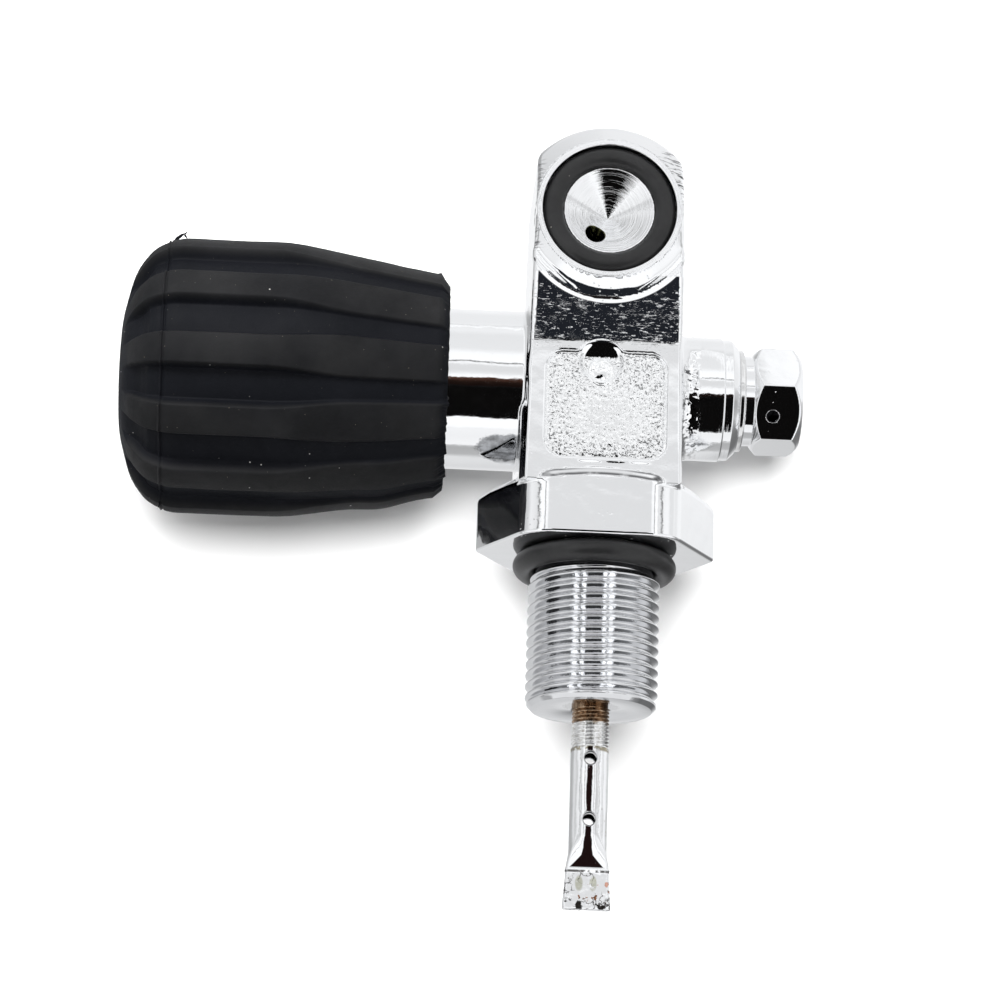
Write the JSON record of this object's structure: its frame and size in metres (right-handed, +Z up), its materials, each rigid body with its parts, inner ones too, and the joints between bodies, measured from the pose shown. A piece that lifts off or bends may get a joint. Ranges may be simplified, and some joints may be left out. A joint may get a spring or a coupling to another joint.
{
  "type": "scuba cylinder valve",
  "caption": "Chrome-plated scuba cylinder shut-off valve with yoke face-seal outlet, ribbed rubber handwheel, burst plug and threaded neck.",
  "frame": {"origin": "centre of the wrench flange's underside (neck seat), on the neck thread's axis", "axes": "+Z up along the neck axis towards the head, outlet faces -Y, handwheel towards -X, burst plug towards +X"},
  "size_m": [0.0923, 0.0372, 0.1052],
  "materials": {
    "chrome_plate": "polished",
    "grip_rubber": "matte",
    "seal_rubber": "satin",
    "bare_brass": "satin",
    "stainless_steel": "satin",
    "white_plastic": "matte",
    "black_plastic": "matte",
    "copper": "satin"
  },
  "bodies": {
    "valve": {"valve_body": "chrome_plate", "outlet_o_ring": "seal_rubber", "neck_o_ring": "seal_rubber", "dip_tube": "chrome_plate", "bonnet_nut": "chrome_plate", "bonnet_o_ring": "seal_rubber", "spindle_thrust_washer": "white_plastic", "burst_disc": "copper", "burst_disc_gasket": "white_plastic", "burst_plug": "chrome_plate", "burst_plug_washer": "chrome_plate"},
    "handwheel": {"spindle": "stainless_steel", "spindle_o_rings": "seal_rubber", "spindle_backup_ring": "white_plastic", "handwheel_grip": "grip_rubber", "handwheel_core": "black_plastic", "handwheel_spring_washer": "stainless_steel", "handwheel_spring": "stainless_steel", "handwheel_nut": "chrome_plate"},
    "seat": {"seat_carrier": "bare_brass", "seat_insert": "white_plastic"}
  },
  "joints": [
    {"name": "handwheel_turn", "type": "hinge", "parent": "valve", "child": "handwheel", "pos_m": [0, 0, 0.0229], "axis": [-1, 0, 0], "range_deg": [0, 900]},
    {"name": "seat_travel", "type": "slide", "parent": "handwheel", "child": "seat", "axis": [-1, 0, 0], "range_m": [0, 0.00251]}
  ],
  "couplings": [
    {"joint": "seat_travel", "follows": "handwheel_turn", "m_per_rad": 0.00015915}
  ]
}
